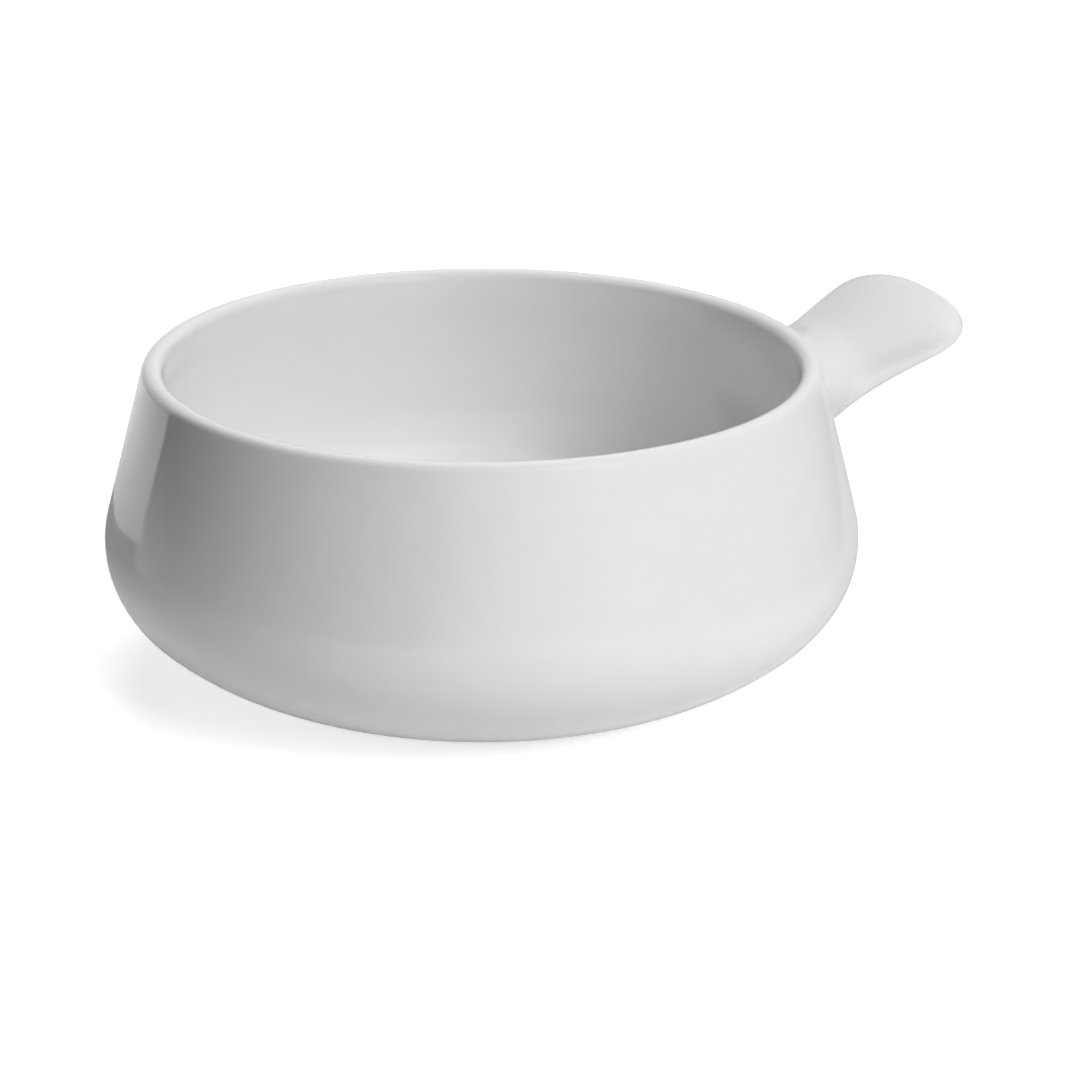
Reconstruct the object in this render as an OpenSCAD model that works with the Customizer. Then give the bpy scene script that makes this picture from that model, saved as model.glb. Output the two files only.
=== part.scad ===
// Handled soup crock: a thrown-shape stoneware bowl with a stuck-on paddle handle.
// The clay bowl stands on a dry foot ring, the handle is luted to its wall with slip,
// and a thin fired glaze covers both. Millimetres, +Z up, handle along +X,
// origin on the table under the middle of the foot.

/* [Bowl] */
// Diameter of the bowl at its widest line, over the glaze
belly_d = 126; // [116:1:160]
// Height of the widest line above the table
belly_z = 22.6; // [20:0.2:28]
// Radius of the hip that turns the wall in under the bowl
hip_r = 16.4; // [12:0.2:19]
// Diameter over the rim
rim_d = 112.4; // [96:0.2:118]
// Height of the rim above the table
rim_z = 52.6; // [48:0.2:66]
// Thickness of the rim, which ends in a full round
lip_t = 3.6; // [2.6:0.1:3.8]
// Radius of the soft corner under the upright band inside the rim
band_round = 24; // [4:1:40]
// Thickness of the wall and floor, glaze to glaze
wall_t = 4.4; // [4.2:0.1:6]
// Diameter of the level middle of the underside
level_d = 60; // [44:1:66]

/* [Foot ring] */
// Outer diameter of the bare foot ring
foot_d = 76; // [70:1:84]
// Width of the foot ring
foot_w = 4.5; // [3:0.1:7]
// Depth of the recess inside the foot ring, in the clay
recess_h = 1.6; // [0.8:0.1:2]
// Chamfer on both edges of the foot ring
foot_chamfer = 0.5; // [0.2:0.1:0.7]

/* [Handle] */
// How far the handle's tip reaches past the belly, in the clay
handle_out = 20; // [16:0.2:44]
// How far below the rim the handle's middle line starts, inside the wall
root_drop = 17.8; // [14:0.2:20]
// How far above the rim the handle's middle line ends
tip_lift = 2.4; // [-4:0.2:12]
// Rise of the middle line where it leaves the wall, in degrees
root_rise = 38; // [20:1:42]
// Width of the handle at its neck
neck_w = 28.2; // [24:0.2:37]
// Width of the paddle at its widest
paddle_w = 39.2; // [30:0.2:48]
// Thickness of the handle at the root
root_t = 11.2; // [9:0.2:14.4]
// Thickness of the handle before its rounded end
end_t = 4.2; // [3.4:0.1:8]
// Length of the rounded end
end_l = 10.2; // [7:0.2:14]
// How far the root spreads on the wall above the handle
top_spread = 3.6; // [1.6:0.1:4.2]
// How far the root spreads on the wall below the handle
under_spread = 1.2; // [0.8:0.1:3]

/* [Glaze] */
// Thickness of the fired glaze, and of the slip that lies flush with it under the handle
glaze_t = 0.4; // [0.3:0.05:0.6]
// Bare clay left between the foot ring and the edge of the glaze
dry_gap = 0.8; // [0.4:0.1:2]

/* [Hidden] */

// Facets round a turn
$fn = 96;
// Half a turn, in degrees: the rim's round ends there, and the bowl's turn starts there,
// opposite the handle
half_turn = 180;
// Steps along the arcs of the underside, the hip, the rim and the corner under the rim's band
under_steps = 12;
hip_steps = 16;
lip_steps = 14;
band_steps = 6;

// Centres of the rim's and the hip's arcs
lip_r = lip_t / 2;
lip_c = [rim_d / 2 - lip_r, rim_z - lip_r];
hip_c = [belly_d / 2 - hip_r, belly_z];
// The underside is an arc that runs level at level_d and meets the hip without a corner
level_r = level_d / 2;
under_run = hip_c.x - level_r;
under_r = (under_run ^ 2 + belly_z ^ 2 - hip_r ^ 2) / (2 * (belly_z - hip_r));
under_c = [level_r, under_r];
under_turn = atan2(hip_c.y - under_c.y, hip_c.x - under_c.x);
// The straight wall touches the hip's arc and the lip's arc, and leans in by this angle
wall_run = lip_c - hip_c;
wall_lean = atan2(wall_run.y, wall_run.x) - acos((hip_r - lip_r) / norm(wall_run));
// The inside of the rim stands upright. A soft corner joins that band to the leaning wall,
// with its centre in the clay and its radius limited to a share of the band's height
mouth_r = lip_c.x - lip_r;
band_share = 0.95;
function corner_z(r) =
    hip_c.y + (hip_r - wall_t + r - (mouth_r + r - hip_c.x) * cos(wall_lean)) / sin(wall_lean);
band_h = lip_c.y - corner_z(0);
corner_r = min(band_round, band_h * band_share / tan(wall_lean / 2));
corner_c = [mouth_r + corner_r, corner_z(corner_r)];

foot_r = foot_d / 2;
foot_in_r = foot_r - foot_w;

// The handle's middle line is a parabola from inside the wall to the tip
root_x = mouth_r - wall_t;
root_z = rim_z - root_drop;
tip_x = belly_d / 2 + handle_out;
tip_z = rim_z + tip_lift;
handle_run = tip_x - root_x;
turn_z = root_z + handle_run / 2 * tan(root_rise);
// Where the neck starts to widen and the paddle is at its full width, along the handle's run
widen_share = 0.28;
full_share = 0.91;
// Fullness of the cross-section, of the rounded end in plan and of its thickness; 2 is an ellipse
section_power = 2.3;
plan_power = 2.5;
edge_power = 4;
// The root's flare runs out along the handle by this share of its spread,
// and leaves the wall towards a point this share of the way along that run
flare_run_share = 1.7;
flare_lift_share = 0.35;
// Points round each ring, then rings over the root's flare, the run and the rounded end
ring_points = 36;
flare_rings = 6;
run_rings = 10;
end_rings = 8;
// Rounds of search for where the handle meets the wall
solve_tries = 8;
// The last ring before the tip's point, as degrees of the end's quarter turn
last_turn = 84;

// Points along an arc, from its start or from its first step
function arc(c, r, from, to, steps, first = 0) =
    [for (i = [first : steps]) let (a = from + (to - from) * i / steps) c + r * [cos(a), sin(a)]];
function backwards(list) = [for (i = [len(list) - 1 : -1 : 0]) list[i]];

// The turn of the underside's arc at a given distance from the middle
function under_start(x, out) = asin((x - level_r) / (under_r + out)) - 90;

// Outside of the bowl from the underside to the rim, with the surface moved out
function outside(from, rim_turn, out) = concat(
    arc(under_c, under_r + out, from, under_turn, under_steps),
    arc(hip_c, hip_r + out, under_turn, wall_lean, hip_steps, 1),
    arc(lip_c, lip_r + out, wall_lean, rim_turn, lip_steps)
);

// Inside of the bowl from the upright band at the rim down to the middle of the floor
function inside(out, lip_out) = concat(
    arc(corner_c, corner_r + lip_out, half_turn, half_turn + wall_lean, band_steps),
    arc(hip_c, hip_r + out, wall_lean, under_turn, hip_steps),
    arc(under_c, under_r + out, under_turn, -90, under_steps, 1),
    [[0, -out]]
);

// Everything inside the bowl's outer surface, moved out by the given amount
module filled_bowl(out) {
    rotate(half_turn) rotate_extrude()
        polygon(concat([[0, -out]], outside(-90, 90, out), [[0, rim_z + out]]));
}

// Half section of the clay: recess, foot ring, outside, rim and inside
module clay_section() {
    foot_ring = [
        [0, recess_h], [foot_in_r, recess_h], [foot_in_r, foot_chamfer],
        [foot_in_r + foot_chamfer, 0], [foot_r - foot_chamfer, 0], [foot_r, foot_chamfer]
    ];
    polygon(concat(
        foot_ring,
        outside(under_start(foot_r, -glaze_t), half_turn, -glaze_t),
        inside(glaze_t - wall_t, -glaze_t)
    ));
}

// Half section of the glaze on the bowl: its outer face, then back along the clay
module glaze_section() {
    dry_r = foot_r + dry_gap;
    polygon(concat(
        outside(under_start(dry_r, 0), half_turn, 0),
        inside(-wall_t, 0),
        backwards(inside(glaze_t - wall_t, -glaze_t)),
        backwards(outside(under_start(dry_r, -glaze_t), half_turn, -glaze_t))
    ));
}

// Handle: middle line, its slope, and the half width and half thickness along it
function along(x) = (x - root_x) / handle_run;
function middle_z(x) =
    let (u = along(x))
    (1 - u) ^ 2 * root_z + 2 * u * (1 - u) * turn_z + u ^ 2 * tip_z;
function slope(x) =
    let (u = along(x), rise = (1 - u) * (turn_z - root_z) + u * (tip_z - turn_z))
    atan2(2 * rise, handle_run);
function smooth(u) = let (k = min(max(u, 0), 1)) k * k * (3 - 2 * k);
function half_w(x) =
    let (k = smooth((along(x) - widen_share) / (full_share - widen_share)))
    (neck_w + (paddle_w - neck_w) * k) / 2;
function half_t(x) = (root_t + (end_t - root_t) * along(x)) / 2;

// How much of the width or thickness is left at a share of the rounded end
function closing(c, power, root) = (1 - min(max(c, 0), 1) ^ power) ^ (1 / root);

function power_cos(a, p) = sign(cos(a)) * abs(cos(a)) ^ (2 / p);
function power_sin(a, p) = sign(sin(a)) * abs(sin(a)) ^ (2 / p);

// A point of the handle without its flare: at an angle round it, at a place on its run,
// with the surface moved out
function handle_at(a, x, out) =
    let (
        c = (x - (tip_x + out - end_l)) / end_l,
        w = (half_w(x) + out) * closing(c, plan_power, plan_power),
        t = (half_t(x) + out) * closing(c, edge_power, 2),
        n = t * power_sin(a, section_power),
        s = slope(x)
    )
    [x - n * sin(s), w * power_cos(a, section_power), middle_z(x) + n * cos(s)];

// Distance of the straight wall's finished face from the bowl's middle, at a height
function wall_r(z) = lip_c.x + (lip_r - (z - lip_c.y) * sin(wall_lean)) / cos(wall_lean);
// A point brought to the wall's clay, under the glaze
function on_clay(p) =
    let (turn = atan2(p.y, p.x), r = wall_r(p.z) - glaze_t / cos(wall_lean))
    [r * cos(turn), r * sin(turn), p.z];
function wall_normal(p) =
    let (turn = atan2(p.y, p.x))
    [cos(turn) * cos(wall_lean), sin(turn) * cos(wall_lean), sin(wall_lean)];

// Place on the run where one line of the handle's surface meets the wall
function meeting(a, x, out, tries) =
    let (p = handle_at(a, x, out), gap = sqrt(wall_r(p.z) ^ 2 - p.y ^ 2) - p.x)
    tries == 0 ? x : meeting(a, x + gap, out, tries - 1);

// The root's flare on one line: from its foot on the wall's clay, bending round to the handle.
// It is widest on top, where the handle runs into the rim, and narrows round to the underside
function spread(a) = under_spread + (top_spread - under_spread) * smooth((1 + sin(a)) / 2);
function flare_end(a, out) = meeting(a, root_x + wall_t, out, solve_tries) + spread(a) * flare_run_share;
function flare_foot(a, out) =
    let (
        p = handle_at(a, flare_end(a, out) - spread(a) * flare_run_share, out),
        middle_x = root_x + wall_t,
        across = p - [middle_x, 0, middle_z(middle_x)],
        normal = wall_normal(p),
        flat = across - (across * normal) * normal
    )
    on_clay(p + flat / norm(flat) * spread(a));
function flare_point(a, u, out) =
    let (
        foot = flare_foot(a, out),
        x = flare_end(a, out),
        lift = handle_at(a, x - spread(a) * flare_run_share * (1 - flare_lift_share), out)
    )
    (1 - u) ^ 2 * foot + 2 * u * (1 - u) * lift + u ^ 2 * handle_at(a, x, out);

// All points of the handle in rings: inside the wall, over the flare, along the run, round the end
function ring(f) = [for (i = [0 : ring_points - 1]) f(360 * i / ring_points)];
function handle_points(out) =
    let (bend = tip_x + out - end_l)
    [
        each ring(function (a) flare_foot(a, out) - [wall_t, 0, 0]),
        for (k = [0 : flare_rings]) each ring(function (a) flare_point(a, k / flare_rings, out)),
        for (k = [1 : run_rings]) each ring(
            function (a) let (x = flare_end(a, out)) handle_at(a, x + (bend - x) * k / run_rings, out)
        ),
        for (k = [1 : end_rings]) each ring(
            function (a) handle_at(a, bend + end_l * sin(last_turn * k / end_rings), out)
        ),
        handle_at(0, tip_x + out, out)
    ];

ring_count = 1 + (flare_rings + 1) + run_rings + end_rings;
side_faces = [
    for (j = [0 : ring_count - 2], i = [0 : ring_points - 1])
        let (a = j * ring_points + i, b = j * ring_points + (i + 1) % ring_points)
        each [[a, b, b + ring_points], [a, b + ring_points, a + ring_points]]
];
tip_index = ring_count * ring_points;
tip_faces = [
    for (i = [0 : ring_points - 1])
        let (a = tip_index - ring_points)
        [a + i, a + (i + 1) % ring_points, tip_index]
];
outside_faces = concat(side_faces, tip_faces);

// The outline of the handle's root, run out from the bowl's middle
module root_outline() {
    outline = ring(function (a) flare_foot(a, 0));
    rotate([90, 0, 90]) linear_extrude(height = tip_x) polygon([for (p = outline) [p.y, p.z]]);
}

// A plain cone in the middle of the wall, which parts its outer side from its inner side
module wall_core() {
    inset = wall_t / 2 / cos(wall_lean);
    rotate(half_turn) cylinder(h = rim_z, r1 = wall_r(0) - inset, r2 = wall_r(rim_z) - inset);
}

// The whole handle, run on into the wall
module handle_form() {
    root_face = [for (i = [ring_points - 1 : -1 : 0]) i];
    polyhedron(handle_points(0), concat(outside_faces, [root_face]));
}

// The skin over the handle, open at the root
module handle_skin() {
    inner_start = tip_index + 1;
    inside_faces = [for (f = outside_faces) inner_start * [1, 1, 1] + [f[0], f[2], f[1]]];
    root_faces = [
        for (i = [0 : ring_points - 1])
            let (k = (i + 1) % ring_points, m = inner_start)
            each [[i, i + m, k + m], [i, k + m, k]]
    ];
    polyhedron(
        concat(handle_points(glaze_t), handle_points(0)),
        concat(outside_faces, inside_faces, root_faces)
    );
}

// The clay bowl with its foot ring
module bowl() {
    color("#e6e1d6") rotate_extrude() clay_section();
}

// The clay handle, its root shaped to the wall
module handle() {
    color("#e6e1d6") difference() {
        handle_form();
        filled_bowl(0);
    }
}

// The slip that sticks the handle to the wall, flush with the glaze round it
module luting_slip() {
    color("#d9d2c3") intersection() {
        difference() {
            root_outline();
            filled_bowl(-glaze_t);
        }
        filled_bowl(0);
    }
}

// The glaze over the bowl, inside and out, down to the dry foot and round the handle's root
module bowl_glaze() {
    color("#f2f3f2") difference() {
        rotate(half_turn) rotate_extrude() glaze_section();
        difference() {
            root_outline();
            wall_core();
        }
    }
}

// The glaze over the handle, from the bowl's glaze to the tip
module handle_glaze() {
    color("#f2f3f2") difference() {
        handle_skin();
        filled_bowl(0);
    }
}

// The glaze in the recess inside the foot ring
module base_glaze() {
    color("#f2f3f2") translate([0, 0, recess_h - glaze_t]) cylinder(h = glaze_t, r = foot_in_r);
}

bowl();
handle();
luting_slip();
bowl_glaze();
handle_glaze();
base_glaze();
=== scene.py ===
# %% [markdown]
# # A handled soup crock in white glaze
# The real crock is a clay bowl with a clay handle stuck to its wall, and one coat of
# white glaze fired over both. A measured model of all its pieces already exists, so this
# lesson doesn't invent sizes: it loads that model, keeps the clay as it is, and gives the
# crock its finished skin. The loaded model could be painted white and left at that, but its
# facets and its hard seams would show as soon as something shiny is reflected in it.

# %% Load the measured model
import math

import bmesh
import bpy
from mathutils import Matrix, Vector


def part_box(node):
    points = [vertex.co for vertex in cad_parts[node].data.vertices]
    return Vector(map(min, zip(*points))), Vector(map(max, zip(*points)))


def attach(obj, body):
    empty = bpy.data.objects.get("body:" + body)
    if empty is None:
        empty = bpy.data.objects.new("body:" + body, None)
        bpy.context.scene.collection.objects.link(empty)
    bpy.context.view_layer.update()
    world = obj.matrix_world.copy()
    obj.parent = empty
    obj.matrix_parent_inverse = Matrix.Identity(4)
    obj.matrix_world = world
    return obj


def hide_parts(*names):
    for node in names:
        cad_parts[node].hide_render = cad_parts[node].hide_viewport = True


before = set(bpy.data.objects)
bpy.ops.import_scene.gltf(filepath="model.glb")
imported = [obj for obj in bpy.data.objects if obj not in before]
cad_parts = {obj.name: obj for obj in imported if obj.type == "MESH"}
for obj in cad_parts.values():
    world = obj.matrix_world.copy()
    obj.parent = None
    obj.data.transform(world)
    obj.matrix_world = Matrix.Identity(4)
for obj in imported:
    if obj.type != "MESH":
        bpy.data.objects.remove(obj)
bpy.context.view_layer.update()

print("pieces in the measured model:", ", ".join(sorted(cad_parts)))

# %% [markdown]
# ## The camera
# The picture to match was taken from a little above the rim, with a long lens, so the
# crock's ellipses are nearly the same shape front and back. A camera could be dragged into
# place by eye. Here it stands where a fit to the crock's outline put it: a distance, a
# height angle and a turn round the bowl, all measured from one point on the bowl's middle.
# The crock sits left of centre in the frame, which is what the lens shift is for.

# %% Camera
MM = 0.001
PICTURE_PX = 1080
focal_px = 3569
bowl_middle_px = 481.6
aim_z = 20.48 * MM
aim = Vector((0, 0, aim_z))
stand_off = 600 * MM
turn = math.radians(-20.6)
lift = math.radians(19.91)

towards_camera = Vector((math.sin(turn), -math.cos(turn), 0))
to_the_right = Vector((math.cos(turn), math.sin(turn), 0))
sight = towards_camera * math.cos(lift) + Vector((0, 0, math.sin(lift)))

bpy.ops.object.camera_add(location=aim + sight * stand_off)
camera = bpy.context.object
camera.name = "picture_camera"
camera.rotation_euler = (-sight).to_track_quat("-Z", "Y").to_euler()
camera.data.lens = camera.data.sensor_width * focal_px / PICTURE_PX
camera.data.shift_x = 0.5 - bowl_middle_px / PICTURE_PX
bpy.context.scene.camera = camera
bpy.context.scene.view_settings.view_transform = "Standard"
print("lens %.1f mm, shift %.3f" % (camera.data.lens, camera.data.shift_x))

# %% [markdown]
# ## Wiring materials with Python sums
# A material is a net of nodes. Placing each node by hand makes long listings that hide the
# idea, so one small class wraps a node's output. Adding, subtracting or multiplying two of
# them, or one of them and a number, quietly adds the Math node that does it, and every
# other node comes from one method that takes its kind, its settings and its inputs. A Mix node
# has a pair of inputs for each sort of value it can mix, and colours are found by their number.

# %% Sums that become nodes
MIX_FIRST, MIX_SECOND, MIX_RESULT = 6, 7, 2


class Wire:
    """An output of a node, which can stand in a sum."""

    def __init__(self, tree, socket=None):
        self.tree = tree
        self.socket = socket

    def node(self, kind, settings=None, inputs=None, output=0):
        made = self.tree.nodes.new(kind)
        for name, value in (settings or {}).items():
            setattr(made, name, value)
        for key, value in (inputs or {}).items():
            if isinstance(value, Wire):
                self.tree.links.new(value.socket, made.inputs[key])
            else:
                made.inputs[key].default_value = value
        return Wire(self.tree, made.outputs[output])

    def sum(self, operation, first, second):
        return self.node("ShaderNodeMath", {"operation": operation}, {0: first, 1: second})

    def __add__(self, other):
        return self.sum("ADD", self, other)

    def __radd__(self, other):
        return self.sum("ADD", other, self)

    def __sub__(self, other):
        return self.sum("SUBTRACT", self, other)

    def __rsub__(self, other):
        return self.sum("SUBTRACT", other, self)

    def __mul__(self, other):
        return self.sum("MULTIPLY", self, other)

    def __rmul__(self, other):
        return self.sum("MULTIPLY", other, self)

    def fade(self, start, end):
        """0 at start, 1 at end, and smooth in between."""
        settings = {"interpolation_type": "SMOOTHSTEP"}
        return self.node("ShaderNodeMapRange", settings, {"Value": self, "From Min": start, "From Max": end})

    def tint(self, one, other):
        """The first colour where this is 0, the second where it is 1."""
        settings = {"data_type": "RGBA"}
        inputs = {"Factor": self, MIX_FIRST: one, MIX_SECOND: other}
        return self.node("ShaderNodeMix", settings, inputs, output=MIX_RESULT)


def new_material(name):
    """An empty material, its first wire and its output node."""
    material = bpy.data.materials.new(name)
    material.use_nodes = True
    material.node_tree.nodes.clear()
    end = material.node_tree.nodes.new("ShaderNodeOutputMaterial")
    return material, Wire(material.node_tree), end


def connect(wire, socket):
    wire.tree.links.new(wire.socket, socket)


print("sums are ready:", [name for name in ("__add__", "__rsub__", "__mul__") if hasattr(Wire, name)])

# %% [markdown]
# ## Floor and backdrop
# The crock stands on plain white with nothing behind it. The floor is a white board that lets
# a little light through from below, as a photographer's light table does, which lifts the
# shade under the crock's hip. A floor lit until it looks white would wash the whole crock out.
# So what the eye sees of the board is raised to white by a glow that lights nothing else. It
# is weaker near the crock, and the shadow stays there. The glaze mirrors the board too, and
# what it mirrors has a glow of its own.

# %% Floor and backdrop
floor_size = 4.0
floor_drop = 0.05 * MM
floor_white = (0.82, 0.82, 0.82, 1)
floor_grain = (0.78, 0.78, 0.78, 1)
grain_scale = 35.0
grain_low, grain_high = 0.3, 0.7
under_light = 0.14
near_glow = 0.54
far_glow = 1.0
near_mirror_glow = 0.05
far_mirror_glow = 0.6
near_r = 0.1
far_r = 0.3

bpy.ops.mesh.primitive_plane_add(size=floor_size, location=(0, 0, -floor_drop))
floor = bpy.context.object
floor.name = "floor"


def spot_on(wire):
    """The place on a piece, in the piece's own coordinates, and its three numbers apart."""
    place = wire.node("ShaderNodeTexCoord", output="Object")
    parts = wire.node("ShaderNodeSeparateXYZ", inputs={0: place})
    return place, [Wire(wire.tree, parts.socket.node.outputs[axis]) for axis in "XYZ"]


def length_of(place):
    return place.node("ShaderNodeVectorMath", {"operation": "LENGTH"}, {0: place}, output="Value")


def seen(wire):
    """1 for what the camera sees, and 1 for what a reflection or a clear thing shows."""
    path = wire.node("ShaderNodeLightPath")
    by_eye, glossy, through = [Wire(wire.tree, path.socket.node.outputs[name])
                               for name in ("Is Camera Ray", "Is Glossy Ray", "Is Transmission Ray")]
    return by_eye, wire.sum("MAXIMUM", glossy, through)


board, wire, end = new_material("white_board")
place, _ = spot_on(wire)
grain = wire.node("ShaderNodeTexNoise", inputs={"Vector": place, "Scale": grain_scale, "Detail": 3.0})
board_colour = grain.fade(grain_low, grain_high).tint(floor_grain, floor_white)
matt = wire.node("ShaderNodeBsdfDiffuse", inputs={"Color": board_colour})
far_off = length_of(place).fade(near_r, far_r)
by_eye, mirrored = seen(wire)
to_the_eye = by_eye * (near_glow + far_off * (far_glow - near_glow))
in_mirrors = mirrored * (near_mirror_glow + far_off * (far_mirror_glow - near_mirror_glow))
glow = wire.node("ShaderNodeEmission", inputs={"Color": under_light + to_the_eye + in_mirrors})
connect(wire.node("ShaderNodeAddShader", inputs={0: matt, 1: glow}), end.inputs["Surface"])
floor.data.materials.append(board)
print("floor is %.1f m square" % floor_size)

# %% [markdown]
# The room around the board is white to the eye and to the glaze, and nearly dark as a light.

# %% Room
room_fill = 0.01
world = bpy.data.worlds.new("white_room")
bpy.context.scene.world = world
world.use_nodes = True
world.node_tree.nodes.clear()
sky = Wire(world.node_tree)
by_eye, mirrored = seen(sky)
level = room_fill + sky.sum("MAXIMUM", by_eye, mirrored) * (1 - room_fill)
room = sky.node("ShaderNodeBackground", inputs={"Color": level})
connect(room, world.node_tree.nodes.new("ShaderNodeOutputWorld").inputs["Surface"])
print("the room gives", room_fill, "of full light")

# %% [markdown]
# ## Studio light
# White pottery only shows its form where it falls into shade. One soft light stands to the
# right of the camera, and a weaker one shines down from behind. Nothing lights the left, so
# the wall turns from white to mid grey as it goes round, and the inside falls into shade on
# the right. A bright room would be easier to set up, but it would flatten the crock.

# %% Two soft lights
lamp_far = 1.1
lamp_size = 0.6
key_turn, key_rise, key_watts = math.radians(39), math.radians(37), 8.6
top_turn, top_rise, top_watts = math.radians(185), math.radians(60), 5.6


def soft_box(name, turn_right, rise, watts):
    """A square light placed by its angles from the camera's line, aimed at the crock."""
    flat = towards_camera * math.cos(turn_right) + to_the_right * math.sin(turn_right)
    line = flat * math.cos(rise) + Vector((0, 0, math.sin(rise)))
    bpy.ops.object.light_add(type="AREA", location=aim + line * lamp_far)
    light = bpy.context.object
    light.name = name
    light.rotation_euler = (-line).to_track_quat("-Z", "Y").to_euler()
    light.data.size = lamp_size
    light.data.energy = watts
    light.visible_glossy = False
    return light


key_light = soft_box("key_light", key_turn, key_rise, key_watts)
top_light = soft_box("top_light", top_turn, top_rise, top_watts)
print("key light stands at", [round(c, 2) for c in key_light.location])

# %% [markdown]
# ## What the glaze mirrors of the lights
# Glaze mirrors the lamps as well, and a bare lamp shows in it as a hard-edged square. A
# photographer hangs silk in front of the lamp. Here the lamps are hidden from reflections,
# and a clear sheet stands where each lamp is, seen by nothing but reflections, with a glow
# that dies away towards its edge.

# %% Soft gleams
key_reach, key_core, key_level = 0.55, 0.1, 0.45
top_reach, top_core, top_level = 0.9, 0.2, 0.8


def only_in_reflections(piece):
    """Hides a thing from everything but the glaze's reflections."""
    for sight_of_it in ("visible_camera", "visible_diffuse", "visible_transmission", "visible_shadow"):
        setattr(piece, sight_of_it, False)


def gleam_of(light, reach, core, level):
    """A clear sheet at a light, with a glow from its core that is gone at its reach."""
    bpy.ops.mesh.primitive_plane_add(size=2 * reach, location=light.location, rotation=light.rotation_euler)
    sheet = bpy.context.object
    sheet.name = light.name + "_gleam"
    only_in_reflections(sheet)
    silk, wire, end = new_material(sheet.name)
    place, _ = spot_on(wire)
    brightness = length_of(place).fade(reach, core) * level
    glow = wire.node("ShaderNodeEmission", inputs={"Color": brightness})
    clear = wire.node("ShaderNodeBsdfTransparent")
    connect(wire.node("ShaderNodeAddShader", inputs={0: clear, 1: glow}), end.inputs["Surface"])
    sheet.data.materials.append(silk)
    return sheet


gleams = [gleam_of(key_light, key_reach, key_core, key_level),
          gleam_of(top_light, top_reach, top_core, top_level)]
print("gleams:", ", ".join(sheet.name for sheet in gleams))

# %% [markdown]
# ## The dark card
# A dark card on the left keeps the white room out of the wall's reflections there, and takes
# some of the board's light from that side. It ends short of the back, and past its edge the
# glaze mirrors white again: that is the pale strip along the crock's far left. Where the card
# comes down to the board and where it runs out in front, its reflection fades, so that it has
# only the one sharp edge. A card is one unit wide in its own coordinates, so its edges lie at
# a half either way.

# %% The dark card
card_tall = 0.2
card_long = 0.5
card_left = -0.155
card_back = 0.128
edge = 0.5
low_fade = 0.2
front_fade = 0.5
card_glow = 0.9
dark_nap = (0.02, 0.02, 0.02, 1)
pale_nap = (0.05, 0.05, 0.05, 1)
nap_scale = 60.0


def add_card(name, middle, rotation, wide, long):
    bpy.ops.mesh.primitive_plane_add(size=1, location=middle, rotation=rotation)
    card = bpy.context.object
    card.name = name
    card.scale = (wide, long, 1)
    return card


card_middle = (card_left, card_back - card_long / 2, card_tall / 2)
dark_card = add_card("dark_card", card_middle, (0, math.radians(90), 0), card_tall, card_long)
dark_card.visible_camera = False
dark_card.visible_shadow = False
felt, wire, end = new_material("dark_felt")
place, (down, back, _) = spot_on(wire)
nap = wire.node("ShaderNodeTexNoise", inputs={"Vector": place, "Scale": nap_scale})
cloth = wire.node("ShaderNodeBsdfDiffuse", inputs={"Color": nap.tint(dark_nap, pale_nap)})
dark_there = down.fade(edge, edge - low_fade) * back.fade(-edge, front_fade - edge)
_, mirrored = seen(wire)
glow = wire.node("ShaderNodeEmission", inputs={"Color": mirrored * (1 - dark_there) * card_glow})
connect(wire.node("ShaderNodeAddShader", inputs={0: cloth, 1: glow}), end.inputs["Surface"])
dark_card.data.materials.append(felt)
print("the dark card's back edge is %.0f mm behind the bowl's middle" % (card_back / MM))

# %% [markdown]
# More cards work in reflections alone. They are painted on clear sheets and fade out, so that
# no outline of them shows. The first is dark. It lies on the board behind and to the left, and
# ends the pale strip at the crock's hip.

# %% A dark strip that only the glaze sees
def paint(card, level, cover_by):
    """Paint of one brightness on a clear card, as thick as the cover says."""
    only_in_reflections(card)
    film, wire, end = new_material(card.name)
    _, (across, along, _) = spot_on(wire)
    paint_there = wire.node("ShaderNodeEmission", inputs={"Color": (level, level, level, 1)})
    clear = wire.node("ShaderNodeBsdfTransparent")
    inputs = {0: cover_by(across, along), 1: clear, 2: paint_there}
    connect(wire.node("ShaderNodeMixShader", inputs=inputs), end.inputs["Surface"])
    card.data.materials.append(film)


strip_front, strip_back = -25 * MM, 95 * MM
strip_near, strip_far = 55 * MM, 240 * MM
strip_up = 0.1 * MM
strip_level, strip_cover = 0.03, 0.6
strip_front_fade, strip_near_fade = 0.8, 0.2
strip_middle = -towards_camera * (strip_front + strip_back) / 2 - to_the_right * (strip_near + strip_far) / 2
strip_middle.z = strip_up
strip = add_card("dark_strip", strip_middle, (0, 0, turn + math.radians(90)),
                 strip_back - strip_front, strip_far - strip_near)
paint(strip, strip_level, lambda back, left: strip_cover * back.fade(-edge, strip_front_fade - edge)
      * left.fade(-edge, strip_near_fade - edge))
print("the dark strip ends %.0f mm behind the bowl's middle" % (strip_back / MM))

# %% [markdown]
# Three cards are grey, and take the glare off: at a glancing angle glaze mirrors as well as a
# looking-glass does. One stands at the right and one lies on the board behind, both for the
# right-hand edge. One stands far behind, for the crease where the handle meets the rim.

# %% Three grey cards that only the glaze sees
grey_right, grey_behind = 150 * MM, 30 * MM
grey_tall, grey_long = 160 * MM, 400 * MM
grey_level, grey_cover = 0.3, 0.85
up_fade, side_core = 0.5, 0.14


def standing(cover):
    """Cover that is whole low down in the middle, and runs out upwards and sideways."""
    return lambda down, along: (cover * down.fade(-edge, up_fade - edge)
                                * (along * along).fade(edge ** 2, side_core ** 2))


grey_middle = to_the_right * grey_right - towards_camera * grey_behind
grey_middle.z = grey_tall / 2
grey_card = add_card("grey_card", grey_middle, (0, math.radians(90), turn), grey_tall, grey_long)
paint(grey_card, grey_level, standing(grey_cover))

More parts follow.
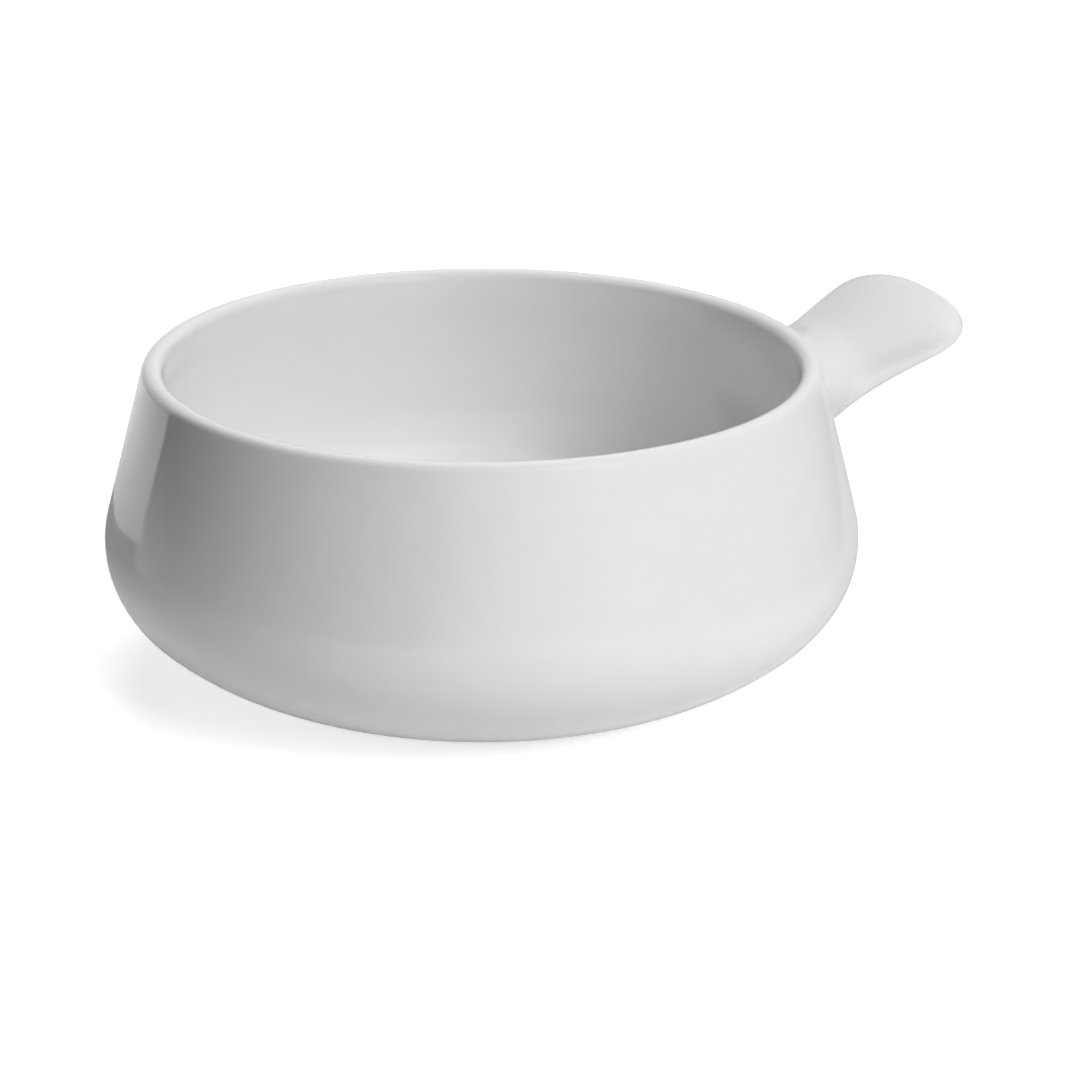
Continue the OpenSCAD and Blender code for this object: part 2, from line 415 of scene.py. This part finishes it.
back_right, back_behind = 88 * MM, 300 * MM
back_tall, back_long = 130 * MM, 150 * MM
back_level, back_cover = 0.6, 0.9
back_middle = to_the_right * back_right - towards_camera * back_behind
back_middle.z = back_tall / 2
back_card = add_card("back_card", back_middle, (0, math.radians(90), turn - math.radians(90)),
                     back_tall, back_long)
paint(back_card, back_level, standing(back_cover))

glare_near, glare_far = 10 * MM, 185 * MM
glare_front, glare_back = -10 * MM, 230 * MM
glare_level, glare_cover = 0.66, 0.95
glare_core = 0.36
glare_middle = to_the_right * (glare_near + glare_far) / 2 - towards_camera * (glare_front + glare_back) / 2
glare_middle.z = strip_up
grey_strip = add_card("grey_strip", glare_middle, (0, 0, turn),
                      glare_far - glare_near, glare_back - glare_front)
paint(grey_strip, glare_level, lambda right, back: glare_cover
      * (right * right).fade(edge ** 2, glare_core ** 2) * (back * back).fade(edge ** 2, glare_core ** 2))
print("grey cards:", grey_card.name, back_card.name, grey_strip.name)

# %% [markdown]
# ## Tools for modelling
# Blender's modelling tools act on whatever is selected, and the measured model is selected
# after loading. So each piece starts the same way: everything is let go, one small shape is
# added as a start, and work goes on in edit mode with points picked in code, by their place.

# %% Tools for modelling
touching = 0.001 * MM


def start_piece(name):
    """The piece just added, named, alone and in edit mode with all of it picked."""
    piece = bpy.context.object
    piece.name = name
    bpy.ops.object.transform_apply(location=True, rotation=True, scale=True)
    bpy.ops.object.mode_set(mode="EDIT")
    bpy.ops.mesh.select_all(action="SELECT")
    return piece


def points():
    """The points of the mesh being edited."""
    mesh = bmesh.from_edit_mesh(bpy.context.object.data)
    mesh.verts.ensure_lookup_table()
    return mesh.verts


def pick(test):
    """Picks the points that pass a test, and the edges and faces between them."""
    bpy.ops.mesh.select_mode(type="VERT")
    bpy.ops.mesh.select_all(action="DESELECT")
    mesh = bmesh.from_edit_mesh(bpy.context.object.data)
    for point in mesh.verts:
        point.select_set(test(point.co))
    mesh.select_flush_mode()
    bmesh.update_edit_mesh(bpy.context.object.data)


def picked():
    """The place of the first picked point."""
    return next(point.co.copy() for point in points() if point.select)


def close_up():
    """Joins points that lie on each other, then turns all faces outwards."""
    bpy.ops.mesh.select_all(action="SELECT")
    bpy.ops.mesh.remove_doubles(threshold=touching)
    bpy.ops.mesh.normals_make_consistent(inside=False)


def add_modifier(piece, kind, **settings):
    """Adds a modifier with its settings and applies it."""
    modifier = piece.modifiers.new(kind.lower(), kind)
    for name, value in settings.items():
        setattr(modifier, name, value)
    bpy.ops.object.modifier_apply(modifier=modifier.name)


def finish_piece(piece):
    """Leaves edit mode with smooth shading, and says how big the mesh is."""
    bpy.ops.object.mode_set(mode="OBJECT")
    bpy.ops.object.shade_smooth()
    print(piece.name, len(piece.data.polygons), "faces")


bpy.ops.object.select_all(action="DESELECT")
print("nothing is picked:", not bpy.context.selected_objects)

# %% [markdown]
# ## The outline of the bowl
# The bowl was turned or cast, so its whole shape is one outline swung round an upright
# line. The outline is drawn as a potter's template would be: a single point is spun about
# the centre of each round stretch and pulled along each straight one. A curve object or a
# list of points would do too, but spinning keeps every round stretch a true arc that runs
# into the next without a corner.
#
# The belly's width and the rim's height are read from the measured model. The other sizes
# are the model's own: the hip's and the lip's rounds, the wall, and the level middle of the
# floor, which fix where the arcs touch each other.

# %% Sizes of the bowl
_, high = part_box("bowl_glaze")
belly_r = high.y
rim_z = high.z
rim_r = 56.2 * MM
belly_z = 22.6 * MM
hip_r = 16.4 * MM
lip_r = 1.8 * MM
wall_t = 4.4 * MM
level_r = 30 * MM
glaze_t = 0.4 * MM
dry_r = 38.8 * MM
band_round = 1.4 * MM

lip_c = Vector((rim_r - lip_r, 0, rim_z - lip_r))
hip_c = Vector((belly_r - hip_r, 0, belly_z))
under_run = hip_c.x - level_r
under_r = (under_run ** 2 + belly_z ** 2 - hip_r ** 2) / (2 * (belly_z - hip_r))
under_c = Vector((level_r, 0, under_r))
under_turn = math.atan2(hip_c.z - under_c.z, hip_c.x - under_c.x)
wall_run = lip_c - hip_c
wall_lean = math.atan2(wall_run.z, wall_run.x) - math.acos((hip_r - lip_r) / wall_run.length)
dry_turn = math.asin((dry_r - level_r) / under_r) - math.pi / 2
print("the wall leans in by %.1f degrees" % math.degrees(wall_lean))


# %% Draw the outline
under_steps, hip_steps, wall_steps, lip_steps = 18, 26, 12, 16
band_steps, in_wall_steps, in_hip_steps, in_under_steps, floor_steps = 2, 10, 24, 16, 12


def on_arc(centre, radius, angle):
    return centre + radius * Vector((math.cos(angle), 0, math.sin(angle)))


def spin_about(centre, angle, steps):
    """Draws an arc from the picked point; the axis makes a positive angle run anticlockwise."""
    bpy.ops.mesh.spin(steps=steps, angle=angle, center=centre, axis=(0, 1, 0))


def pull_to(place, steps):
    """Draws a straight stretch from the picked point."""
    step = (place - picked()) / steps
    for _ in range(steps):
        bpy.ops.mesh.extrude_region_move(TRANSFORM_OT_translate={"value": step})


bpy.ops.mesh.primitive_plane_add(size=glaze_t, location=on_arc(under_c, under_r, dry_turn))
bowl_coat = start_piece("bowl_coat")
bpy.ops.mesh.merge(type="CENTER")
spin_about(under_c, under_turn - dry_turn, under_steps)
spin_about(hip_c, wall_lean - under_turn, hip_steps)
pull_to(on_arc(lip_c, lip_r, wall_lean), wall_steps)
spin_about(lip_c, math.pi - wall_lean, lip_steps)
wall_foot = on_arc(hip_c, hip_r - wall_t, wall_lean)
band_rise = (wall_foot.x - (rim_r - 2 * lip_r)) / math.tan(wall_lean)
band_foot = Vector((rim_r - 2 * lip_r, 0, wall_foot.z + band_rise))
pull_to(band_foot, band_steps)
pull_to(wall_foot, in_wall_steps)
spin_about(hip_c, under_turn - wall_lean, in_hip_steps)
spin_about(under_c, -math.pi / 2 - under_turn, in_under_steps)
pull_to(Vector((0, 0, wall_t)), floor_steps)
print("the outline has", len(points()), "points")

# %% [markdown]
# Just under the lip the inside stands upright for a few millimetres, then leans back under
# the wall. Fired glaze never keeps a hard corner there, so that one point is bevelled to a
# soft round before the outline is swung.

# %% Soften the line under the lip, and swing the outline round
near_by = 0.01 * MM
round_steps = 8
turn_steps = 168
pick(lambda place: (place - band_foot).length < near_by)
bpy.ops.mesh.bevel(offset=band_round, segments=round_steps, affect="VERTICES")
bpy.ops.mesh.select_all(action="SELECT")
bpy.ops.mesh.spin(steps=turn_steps, angle=2 * math.pi, center=(0, 0, 0), axis=(0, 0, 1))
close_up()
finish_piece(bowl_coat)

# %% [markdown]
# ## A skin that isn't quite perfect
# A glazed pot is never as true as a lathe makes it: the clay moves a little in the fire and
# the glaze lies a little uneven, which bends the edges of every reflection. A bump map would
# fake that, but only in the picture. Here the skin itself is moved by a slow cloud pattern,
# by about a quarter of the glaze's thickness either way, and then gets that thickness.

# %% Waviness, then thickness
cloud_size = 24 * MM
wave = 0.22 * MM
clouds = bpy.data.textures.new("slow_clouds", "CLOUDS")
clouds.noise_scale = cloud_size
clouds.noise_depth = 1
add_modifier(bowl_coat, "DISPLACE", texture=clouds, strength=wave, mid_level=0.5, texture_coords="LOCAL")
add_modifier(bowl_coat, "SOLIDIFY", thickness=glaze_t, offset=-1, use_even_offset=True)
print("bowl_coat", len(bowl_coat.data.polygons), "faces with its inner side")

# %% [markdown]
# ## The handle
# The handle is a flat paddle that widens and thins towards its end and rises a little from
# the wall. Its cross-section is fuller than an ellipse. That shape comes from one square:
# bevelling its corners until they meet, with the bevel's profile a touch above the half that
# gives a circle. From there the section is extruded along the handle, and each new section
# is turned, stretched and moved, just as it would be with the mouse.

# %% Sizes of the handle
_, handle_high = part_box("handle_glaze")
root_x = rim_r - 2 * lip_r - wall_t
root_z = rim_z - 17.8 * MM
tip_x = handle_high.x - glaze_t
tip_z = rim_z + 2.4 * MM
root_rise = math.radians(38)
neck_w = 28.2 * MM
paddle_w = 39.2 * MM
root_t = 11.2 * MM
end_t = 4.2 * MM
end_l = 10.2 * MM
widen_share = 0.28
full_share = 0.91
plan_power = 2.5
edge_power = 4
section_power = 2.3

handle_run = tip_x - root_x
turn_z = root_z + handle_run / 2 * math.tan(root_rise)
print("handle is %.1f mm long from inside the wall" % (handle_run / MM))


# %% The handle's middle line and its sections
def middle(x):
    """The middle line's height at a place along the handle, and its slope there."""
    share = (x - root_x) / handle_run
    height = (1 - share) ** 2 * root_z + 2 * share * (1 - share) * turn_z + share ** 2 * tip_z
    rise = (1 - share) * (turn_z - root_z) + share * (tip_z - turn_z)
    return Vector((x, 0, height)), math.atan2(2 * rise, handle_run)


def section(x):
    """Half the width and half the thickness over the glaze, at a place along the handle."""
    share = (x - root_x) / handle_run
    widened = min(max((share - widen_share) / (full_share - widen_share), 0), 1)
    half_w = neck_w + (paddle_w - neck_w) * widened ** 2 * (3 - 2 * widened)
    half_t = root_t + (end_t - root_t) * share
    closed = max((x - (tip_x + glaze_t - end_l)) / end_l, 0)
    half_w = (half_w / 2 + glaze_t) * (1 - closed ** plan_power) ** (1 / plan_power)
    half_t = (half_t / 2 + glaze_t) * (1 - closed ** edge_power) ** 0.5
    return half_w, half_t


def turn_section(angle, centre):
    """Turns what is picked about a level line across the handle, its outer end going up."""
    bpy.ops.transform.rotate(value=angle, orient_axis="Y", center_override=centre)


def reshape(before, after):
    """Turns, stretches and moves the picked section from one place on the handle to another."""
    old_centre, old_slope = middle(before)
    new_centre, new_slope = middle(after)
    stretch = [new / old for new, old in zip(section(after), section(before))]
    turn_section(-old_slope, old_centre)
    bpy.ops.transform.resize(value=(1, stretch[0], stretch[1]), center_override=old_centre)
    bpy.ops.transform.translate(value=new_centre - old_centre)
    turn_section(new_slope, new_centre)


neck_to_tip = 15.5 * MM
corner_steps = 14
neck_x = tip_x - neck_to_tip
neck_centre, neck_slope = middle(neck_x)
section_profile = 2 ** (-2 / section_power)
bpy.ops.object.select_all(action="DESELECT")
bpy.ops.mesh.primitive_plane_add(size=2, location=neck_centre, rotation=(0, math.radians(90), 0))
handle_coat = start_piece("handle_coat")
bpy.ops.mesh.delete(type="ONLY_FACE")
bpy.ops.mesh.select_all(action="SELECT")
bpy.ops.mesh.bevel(offset=1, segments=corner_steps, profile=section_profile, affect="VERTICES")
bpy.ops.mesh.select_all(action="SELECT")
bpy.ops.mesh.remove_doubles(threshold=touching)
neck_half_w, neck_half_t = section(neck_x)
bpy.ops.transform.resize(value=(1, neck_half_w, neck_half_t), center_override=neck_centre)
turn_section(neck_slope, neck_centre)
print("the section has", len(points()), "points, with the bevel's profile at %.3f" % section_profile)

# %% [markdown]
# The run of the handle takes even steps. The rounded end takes steps that close up towards
# the tip, as the rungs of a globe do towards a pole, so that the edge stays round to the
# last. The last small ring is then merged into one point.

# %% Extrude the handle out to its tip
run_steps = 14
end_steps = 18
last_turn = math.radians(89.4)
bend_x = tip_x + glaze_t - end_l
stations = [neck_x + (bend_x - neck_x) * step / run_steps for step in range(run_steps + 1)]
stations += [bend_x + end_l * math.sin(last_turn * step / end_steps) for step in range(1, end_steps + 1)]
for before, after in zip(stations, stations[1:]):
    bpy.ops.mesh.extrude_edges_move()
    reshape(before, after)
bpy.ops.mesh.extrude_edges_move()
bpy.ops.mesh.merge(type="CENTER")
print("the handle reaches x = %.2f mm" % (max(point.co.x for point in points()) / MM))

# %% [markdown]
# ## The handle's root
# Where the handle meets the wall it spreads into a soft flare, wide on top, where it runs
# into the rim, and narrow underneath. A boolean would leave a hard seam there. Instead the
# first section is extruded back, ring by ring, and each of its points follows a line of its
# own: on along the handle's surface, and then away along the wall, by a curve with four
# handles, two on the handle's line and two on the wall. Its last step runs on along the wall
# and dips under the bowl's skin at a shallow angle, so that no edge shows.

# %% Lines of the flare
top_spread = 5.0 * MM
under_spread = 0.6 * MM
spread_from, spread_to = 0.25, 0.75
creep = 0.5 * MM
flare_run_share = 1.5
thigh_share = 0.8
knee_share = 0.75
lead_steps = 4
flare_steps = 14
halvings = 30
run_out = 1.0 * MM
sink = 0.12 * MM

neck_across = Vector((-math.sin(neck_slope), 0, math.cos(neck_slope)))
neck_ahead = Vector((math.cos(neck_slope), 0, math.sin(neck_slope)))
bpy.context.view_layer.update()


def on_handle(up, side, x):
    """The place on the handle's surface with the given shares of its thickness and width."""
    centre, slope = middle(x)
    half_w, half_t = section(x)
    return centre + Vector((-math.sin(slope) * up * half_t, side * half_w, math.cos(slope) * up * half_t))


def landing_x(up, side):
    """Where one line of the handle's surface meets the wall, found by halving."""
    inner, outer = root_x, neck_x
    for _ in range(halvings):
        x = (inner + outer) / 2
        place = on_handle(up, side, x)
        wall = lip_c.x + (lip_r - (place.z - lip_c.z) * math.sin(wall_lean)) / math.cos(wall_lean)
        if math.hypot(place.x, place.y) > wall:
            outer = x
        else:
            inner = x
    return outer


def flare_line(start):
    """The line from one point of the neck back to the wall and along it, as a list of places."""
    up = (start - neck_centre).dot(neck_across) / neck_half_t
    side = start.y / neck_half_w
    height = (1 + math.copysign(abs(up) ** (section_power / 2), up)) / 2
    height = min(max((height - spread_from) / (spread_to - spread_from), 0), 1)
    spread = under_spread + (top_spread - under_spread) * height ** 2 * (3 - 2 * height)
    x = landing_x(up, side)
    landing = on_handle(up, side, x)
    _, _, normal, _ = bowl_coat.closest_point_on_mesh(landing)
    away = landing - on_handle(0, 0, landing_x(0, 0))
    away = (away - away.dot(normal) * normal).normalized()
    _, foot, _, _ = bowl_coat.closest_point_on_mesh(landing + away * (spread + creep))
    _, last, last_normal, _ = bowl_coat.closest_point_on_mesh(landing + away * (spread + creep + run_out))
    _, knee, _, _ = bowl_coat.closest_point_on_mesh(landing + away * spread * knee_share)
    thigh = on_handle(up, side, x + spread * thigh_share)
    flare_x = x + spread * flare_run_share
    hip = on_handle(up, side, flare_x)
    line = [on_handle(up, side, neck_x + (flare_x - neck_x) * step / lead_steps)
            for step in range(1, lead_steps + 1)]
    for step in range(1, flare_steps + 1):
        back = step / flare_steps
        share = 1 - back
        line.append(share ** 3 * hip + 3 * share ** 2 * back * thigh
                    + 3 * share * back ** 2 * knee + back ** 3 * foot)
    line.append(last - last_normal * sink)
    return line


print("the handle's top meets the wall at x = %.1f mm" % (landing_x(1, 0) / MM))


# %% Flare the root on to the wall
def on_neck(place):
    return abs((place - neck_centre).dot(neck_ahead)) < touching


def key(place):
    """A place as a name, to find it again after an extrude."""
    return tuple(round(c / MM, 4) for c in place)


pick(on_neck)
lines = {key(point.co): flare_line(point.co) for point in points() if point.select}
for step in range(lead_steps + flare_steps + 1):
    bpy.ops.mesh.extrude_edges_move()
    moved = {}
    for point in points():
        if point.select:
            line = lines[key(point.co)]
            point.co = line[step]
            moved[key(point.co)] = line
    lines = moved
bmesh.update_edit_mesh(handle_coat.data)
close_up()
finish_piece(handle_coat)
add_modifier(handle_coat, "DISPLACE", texture=clouds, strength=wave / 2, mid_level=0.5,
             texture_coords="LOCAL")
add_modifier(handle_coat, "SOLIDIFY", thickness=glaze_t, offset=-1)
print("flare lines:", len(lines), "and", len(handle_coat.data.polygons), "faces in all")

# %% [markdown]
# ## Glaze under the base
# Inside the foot ring the crock is glazed too, where the kiln shelf didn't touch it. The
# glaze lies there like a shallow pool and creeps up the ring all round. A filled circle is
# the start: its lower side is drawn in by insets, and each inset sits a little deeper than
# the one before, which makes the curved edge that a liquid has.

# %% Glaze under the base
base_low, base_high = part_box("base_glaze")
base_r = base_high.x
creep_widths = [0.15 * MM, 0.25 * MM, 0.4 * MM, 0.7 * MM, 1.2 * MM, 6 * MM, 8 * MM, 8 * MM]
creep_depths = [0.18 * MM, 0.14 * MM, 0.1 * MM, 0.06 * MM, 0.02 * MM, 0, 0, 0]
base_edge = base_low.z - sum(creep_depths)
circle_points = 120
soft_below = math.radians(50)

bpy.ops.object.select_all(action="DESELECT")
bpy.ops.mesh.primitive_circle_add(vertices=circle_points, radius=base_r, fill_type="NGON",
                                  location=(0, 0, base_high.z))
base_coat = start_piece("base_coat")
bpy.ops.mesh.extrude_region_move(TRANSFORM_OT_translate={"value": (0, 0, base_edge - base_high.z)})
for width, depth in zip(creep_widths, creep_depths):
    bpy.ops.mesh.inset(thickness=width, depth=depth)
pool_z = picked().z
close_up()
finish_piece(base_coat)
bpy.ops.object.shade_smooth_by_angle(angle=soft_below)
print("the pool's edge hangs %.2f mm lower than its middle" % ((pool_z - base_edge) / MM))

# %% [markdown]
# ## The glaze's finish
# The glaze is a skin of glass over white clay. It is a plain, nearly neutral white, with slow
# clouds in it that only show as a change of a percent or two. It draws back from the rim's
# edge, where the warmer clay shines through, and gathers in the bowl's lower corner, where it
# looks a shade bluer. On top of the handle's root, by the rim, it is painted darker and a
# little bluer: that is painted shade on the flare, with a touch of the blue of pooled glaze.
# A few specks of iron and a surface like the skin of an orange finish it. All of this reads
# the crock's own coordinates, so the bowl, the handle and the base wear one coat.

# %% Colours and places of the glaze
def shiny_surface(wire, end, fixed, varying):
    """A Principled shader: values that are the same all over, then what changes over the surface."""
    shader = wire.tree.nodes.new("ShaderNodeBsdfPrincipled")
    for name, value in fixed.items():
        shader.inputs[name].default_value = value
    for name, value in varying.items():
        connect(value, shader.inputs[name])
    wire.tree.links.new(shader.outputs[0], end.inputs["Surface"])


white_glaze = (0.865, 0.869, 0.865, 1)
cloudy_glaze = (0.842, 0.845, 0.84, 1)
thin_glaze = (0.862, 0.861, 0.853, 1)
pooled_glaze = (0.835, 0.85, 0.852, 1)
# painted shade: a darker, slightly bluer glaze for the top of the handle's root by the rim
crease_shade_glaze = (0.75, 0.757, 0.757, 1)
iron_speck = (0.36, 0.32, 0.27, 1)
glass_ior = 1.52
cloud_scale, fleck_scale, speck_scale, peel_scale = 26.0, 240.0, 42.0, 420.0
cloud_share, fleck_share, cloud_low, cloud_high = 0.8, 0.2, 0.36, 0.66
speck_edge, speck_core, speck_share = 0.012, 0.005, 0.4
thin_from, thin_full, thin_out, thin_in = rim_z - 1.9 * MM, rim_z - 0.2 * MM, rim_r + 2 * MM, rim_r - 0.2 * MM
thin_least, thin_by_fleck = 0.4, 0.5
pool_top, pool_full, pool_share = 14 * MM, 7 * MM, 0.6
pool_in, pool_in_full, pool_out_full, pool_out = 30 * MM, 44 * MM, 48 * MM, 53 * MM
crease_in, crease_full = rim_r - 1.2 * MM, rim_r + 0.6 * MM
crease_fades, crease_out = rim_r + 3 * MM, rim_r + 10 * MM
crease_half, crease_end = 16 * MM, 24 * MM
crease_top, crease_low = rim_z - 0.2 * MM, rim_z - 2.5 * MM
peel_height, speck_depth, peel_strength, peel_depth = 0.7, 1.5, 0.05, 0.2 * MM
gloss_least, gloss_by_cloud, gloss_by_fleck, gloss_at_rim = 0.03, 0.03, 0.015, 0.12
print("the glaze thins over the top %.1f mm of the rim" % ((rim_z - thin_from) / MM))

# %% White glaze
glaze, wire, end = new_material("white_glaze")
place, (x, y, z) = spot_on(wire)
from_axis = wire.node("ShaderNodeMath", {"operation": "POWER"}, {0: x * x + y * y, 1: 0.5})
clouding = wire.node("ShaderNodeTexNoise", inputs={"Vector": place, "Scale": cloud_scale, "Detail": 4.0})
flecks = wire.node("ShaderNodeTexNoise", inputs={"Vector": place, "Scale": fleck_scale, "Detail": 2.0})
specks = wire.node("ShaderNodeTexVoronoi", inputs={"Vector": place, "Scale": speck_scale})
speck = specks.fade(speck_edge, speck_core)
at_rim = z.fade(thin_from, thin_full) * from_axis.fade(thin_out, thin_in)
in_corner = from_axis.fade(pool_in, pool_in_full) * from_axis.fade(pool_out, pool_out_full)
low_inside = z.fade(pool_top, pool_full) * in_corner
by_root = from_axis.fade(crease_in, crease_full) * from_axis.fade(crease_out, crease_fades)
at_handle = x.fade(0, rim_r / 2) * (y * y).fade(crease_end ** 2, crease_half ** 2)
# where the shade is painted: the flare's top just under the rim, on the handle's side
painted_crease_shade = by_root * at_handle * z.fade(crease_top, crease_low)
cloudy = (clouding * cloud_share + flecks * fleck_share).fade(cloud_low, cloud_high)
colour = cloudy.tint(white_glaze, cloudy_glaze)
colour = (low_inside * pool_share).tint(colour, pooled_glaze)
colour = painted_crease_shade.tint(colour, crease_shade_glaze)
colour = (at_rim * (thin_least + thin_by_fleck * flecks)).tint(colour, thin_glaze)
colour = (speck * speck_share).tint(colour, iron_speck)
peel = wire.node("ShaderNodeTexNoise", inputs={"Vector": place, "Scale": peel_scale, "Detail": 2.0})
bumps = peel * peel_height - speck * speck_depth
bump_inputs = {"Strength": peel_strength, "Distance": peel_depth, "Height": bumps}
normal = wire.node("ShaderNodeBump", inputs=bump_inputs)
gloss = gloss_least + gloss_by_cloud * clouding + gloss_by_fleck * flecks + at_rim * gloss_at_rim
shiny_surface(wire, end, {"IOR": glass_ior}, {"Base Color": colour, "Roughness": gloss, "Normal": normal})
print("glaze is made of", len(glaze.node_tree.nodes), "nodes")

# %% [markdown]
# ## Bare clay
# The foot ring was wiped clean before firing, so that the crock wouldn't stick to the shelf.
# There the stoneware shows: a warm off-white, matt and faintly gritty, with darker grains. The
# clay of the wall, of the handle and of the slip between them is the same stuff, hidden by
# the glaze.

# %% Bare clay
pale_clay = (0.68, 0.63, 0.54, 1)
sandy_clay = (0.56, 0.50, 0.41, 1)
dark_grain = (0.26, 0.21, 0.16, 1)
clay_ior = 1.45
patch_scale, grit_scale, dark_scale = 90.0, 1500.0, 420.0
patch_low, patch_high = 0.35, 0.7
grain_edge, grain_core, grain_share = 0.16, 0.08, 0.7
grit_height, patch_height, grain_depth = 0.8, 0.4, 0.5
grit_strength, grit_depth = 0.35, 0.15 * MM
matt_least, matt_by_grit = 0.72, 0.2

clay, wire, end = new_material("bare_clay")
place, _ = spot_on(wire)
patches = wire.node("ShaderNodeTexNoise", inputs={"Vector": place, "Scale": patch_scale, "Detail": 5.0})
grit = wire.node("ShaderNodeTexNoise", inputs={"Vector": place, "Scale": grit_scale, "Detail": 3.0})
grains = wire.node("ShaderNodeTexVoronoi", inputs={"Vector": place, "Scale": dark_scale})
grain = grains.fade(grain_edge, grain_core)
colour = patches.fade(patch_low, patch_high).tint(pale_clay, sandy_clay)
colour = (grain * grain_share).tint(colour, dark_grain)
height = grit * grit_height + patches * patch_height - grain * grain_depth
bump_inputs = {"Strength": grit_strength, "Distance": grit_depth, "Height": height}
normal = wire.node("ShaderNodeBump", inputs=bump_inputs)
dull = matt_least + matt_by_grit * grit
shiny_surface(wire, end, {"IOR": clay_ior}, {"Base Color": colour, "Roughness": dull, "Normal": normal})
print("clay is made of", len(clay.node_tree.nodes), "nodes")

# %% [markdown]
# ## Putting the finish on
# The three new skins stand in for the measured model's glaze pieces, and the clay pieces
# stay as they were measured, in their new finish. Nothing on a crock moves, so the three
# new skins are attached to the one body.

# %% Dress the pieces
def wear(piece, material):
    piece.data.materials.clear()
    piece.data.materials.append(material)


for coat, node in ((bowl_coat, "bowl_glaze"), (handle_coat, "handle_glaze"), (base_coat, "base_glaze")):
    wear(coat, glaze)
    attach(coat, "root")
    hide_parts(node)
for node in ("bowl", "handle", "luting_slip"):
    wear(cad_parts[node], clay)
print("new skins:", bowl_coat.name, handle_coat.name, base_coat.name)
